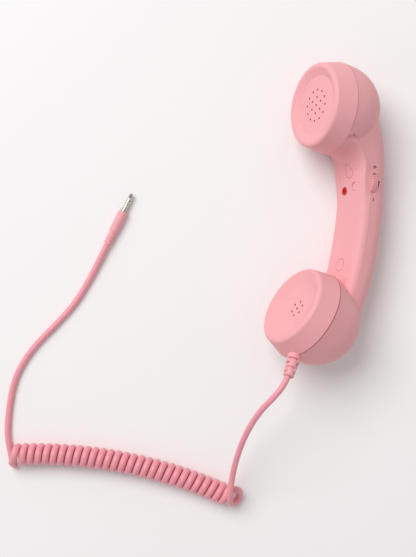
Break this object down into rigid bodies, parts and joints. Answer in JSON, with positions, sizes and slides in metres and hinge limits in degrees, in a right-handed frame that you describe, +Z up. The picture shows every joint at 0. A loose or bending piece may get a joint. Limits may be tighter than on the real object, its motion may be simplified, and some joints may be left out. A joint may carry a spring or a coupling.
{
  "type": "telephone handset",
  "caption": "Retro telephone handset with a call button, a thumbwheel and a curly cord that ends in a four-pole plug, lying on its side.",
  "frame": {"origin": "on the table, under the middle of the lying handset, cord left out", "axes": "+Y along the handset towards the ear end, +Z up from the table, -X the side that the ear and mouth faces look to"},
  "size_m": [0.2478, 0.313, 0.0653],
  "materials": {
    "shell_pink": "soft-touch coating",
    "rubber_pink": "smooth",
    "cord_pink": "smooth sheath",
    "red_lens": "polished",
    "zinc": "zinc plated",
    "nickel": "nickel plated",
    "aluminium": "drawn can",
    "black_plastic": "moulded",
    "white_plastic": "moulded",
    "board_green": "solder mask",
    "foam": "closed-cell foam"
  },
  "bodies": {
    "handset": {"rear_shell": "shell_pink", "front_cover": "shell_pink", "mouth_cap": "shell_pink", "upper_screw_plug": "rubber_pink", "lower_screw_plug": "rubber_pink", "case_screws": "zinc", "call_switch": "black_plastic", "indicator_lens": "red_lens", "indicator_led": "red_lens", "circuit_board": "board_green", "board_screws": "zinc", "volume_pot": "black_plastic", "speaker_gasket": "foam", "speaker_frame": "zinc", "speaker_diaphragm": "black_plastic", "speaker_magnet": "zinc", "speaker_clamps": "zinc", "speaker_screws": "zinc", "microphone_boot": "foam", "microphone_capsule": "aluminium", "strain_relief": "rubber_pink", "cord_tie": "black_plastic", "cord_inner_end": "cord_pink", "plug_boot": "rubber_pink", "plug_sleeve": "nickel", "plug_ring_two": "nickel", "plug_ring_one": "nickel", "plug_tip": "nickel", "plug_insulators": "white_plastic", "speaker_leads": "black_plastic", "microphone_leads": "black_plastic", "cord_leads": "black_plastic", "cord_tail_handset": "cord_pink", "cord_coil": "cord_pink", "cord_tail_plug": "cord_pink"},
    "button": {"call_button": "shell_pink"},
    "wheel": {"volume_wheel": "shell_pink", "wheel_screw": "zinc", "pot_shaft": "zinc"}
  },
  "joints": [
    {"name": "call_button_press", "type": "slide", "parent": "handset", "child": "button", "axis": [0.8829, -0.0025, -0.4695], "range_m": [0, 0.0004], "stiffness_N_per_m": 800},
    {"name": "volume_wheel_turn", "type": "hinge", "parent": "handset", "child": "wheel", "pos_m": [0.02335, 0.02833, 0.02845], "axis": [-0.8829, 0.0025, 0.4695], "range_deg": [-150, 150]}
  ]
}
